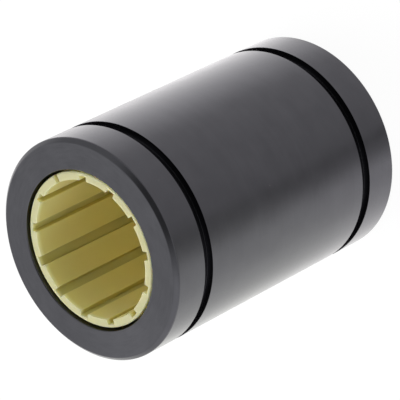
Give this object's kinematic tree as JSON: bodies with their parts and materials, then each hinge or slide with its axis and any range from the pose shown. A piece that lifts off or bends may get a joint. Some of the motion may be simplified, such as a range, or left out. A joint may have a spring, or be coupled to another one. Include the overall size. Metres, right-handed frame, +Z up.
{
  "type": "closed linear bushing",
  "caption": "Closed linear plain bushing: a turned metal sleeve with retaining-ring grooves and a split, grooved polymer liner that slides on a round shaft.",
  "frame": {"origin": "middle of the lower end face, on the shaft axis", "axes": "+Z up along the shaft axis; +X through the middle of the liner's slit"},
  "size_m": [0.04, 0.04, 0.058],
  "materials": {
    "anodised_sleeve": "hard anodised dark grey, satin, fine turning marks",
    "polymer_liner": "moulded pale yellow, matte"
  },
  "bodies": {
    "root": {"sleeve": "anodised_sleeve", "liner": "polymer_liner"}
  },
  "joints": []
}
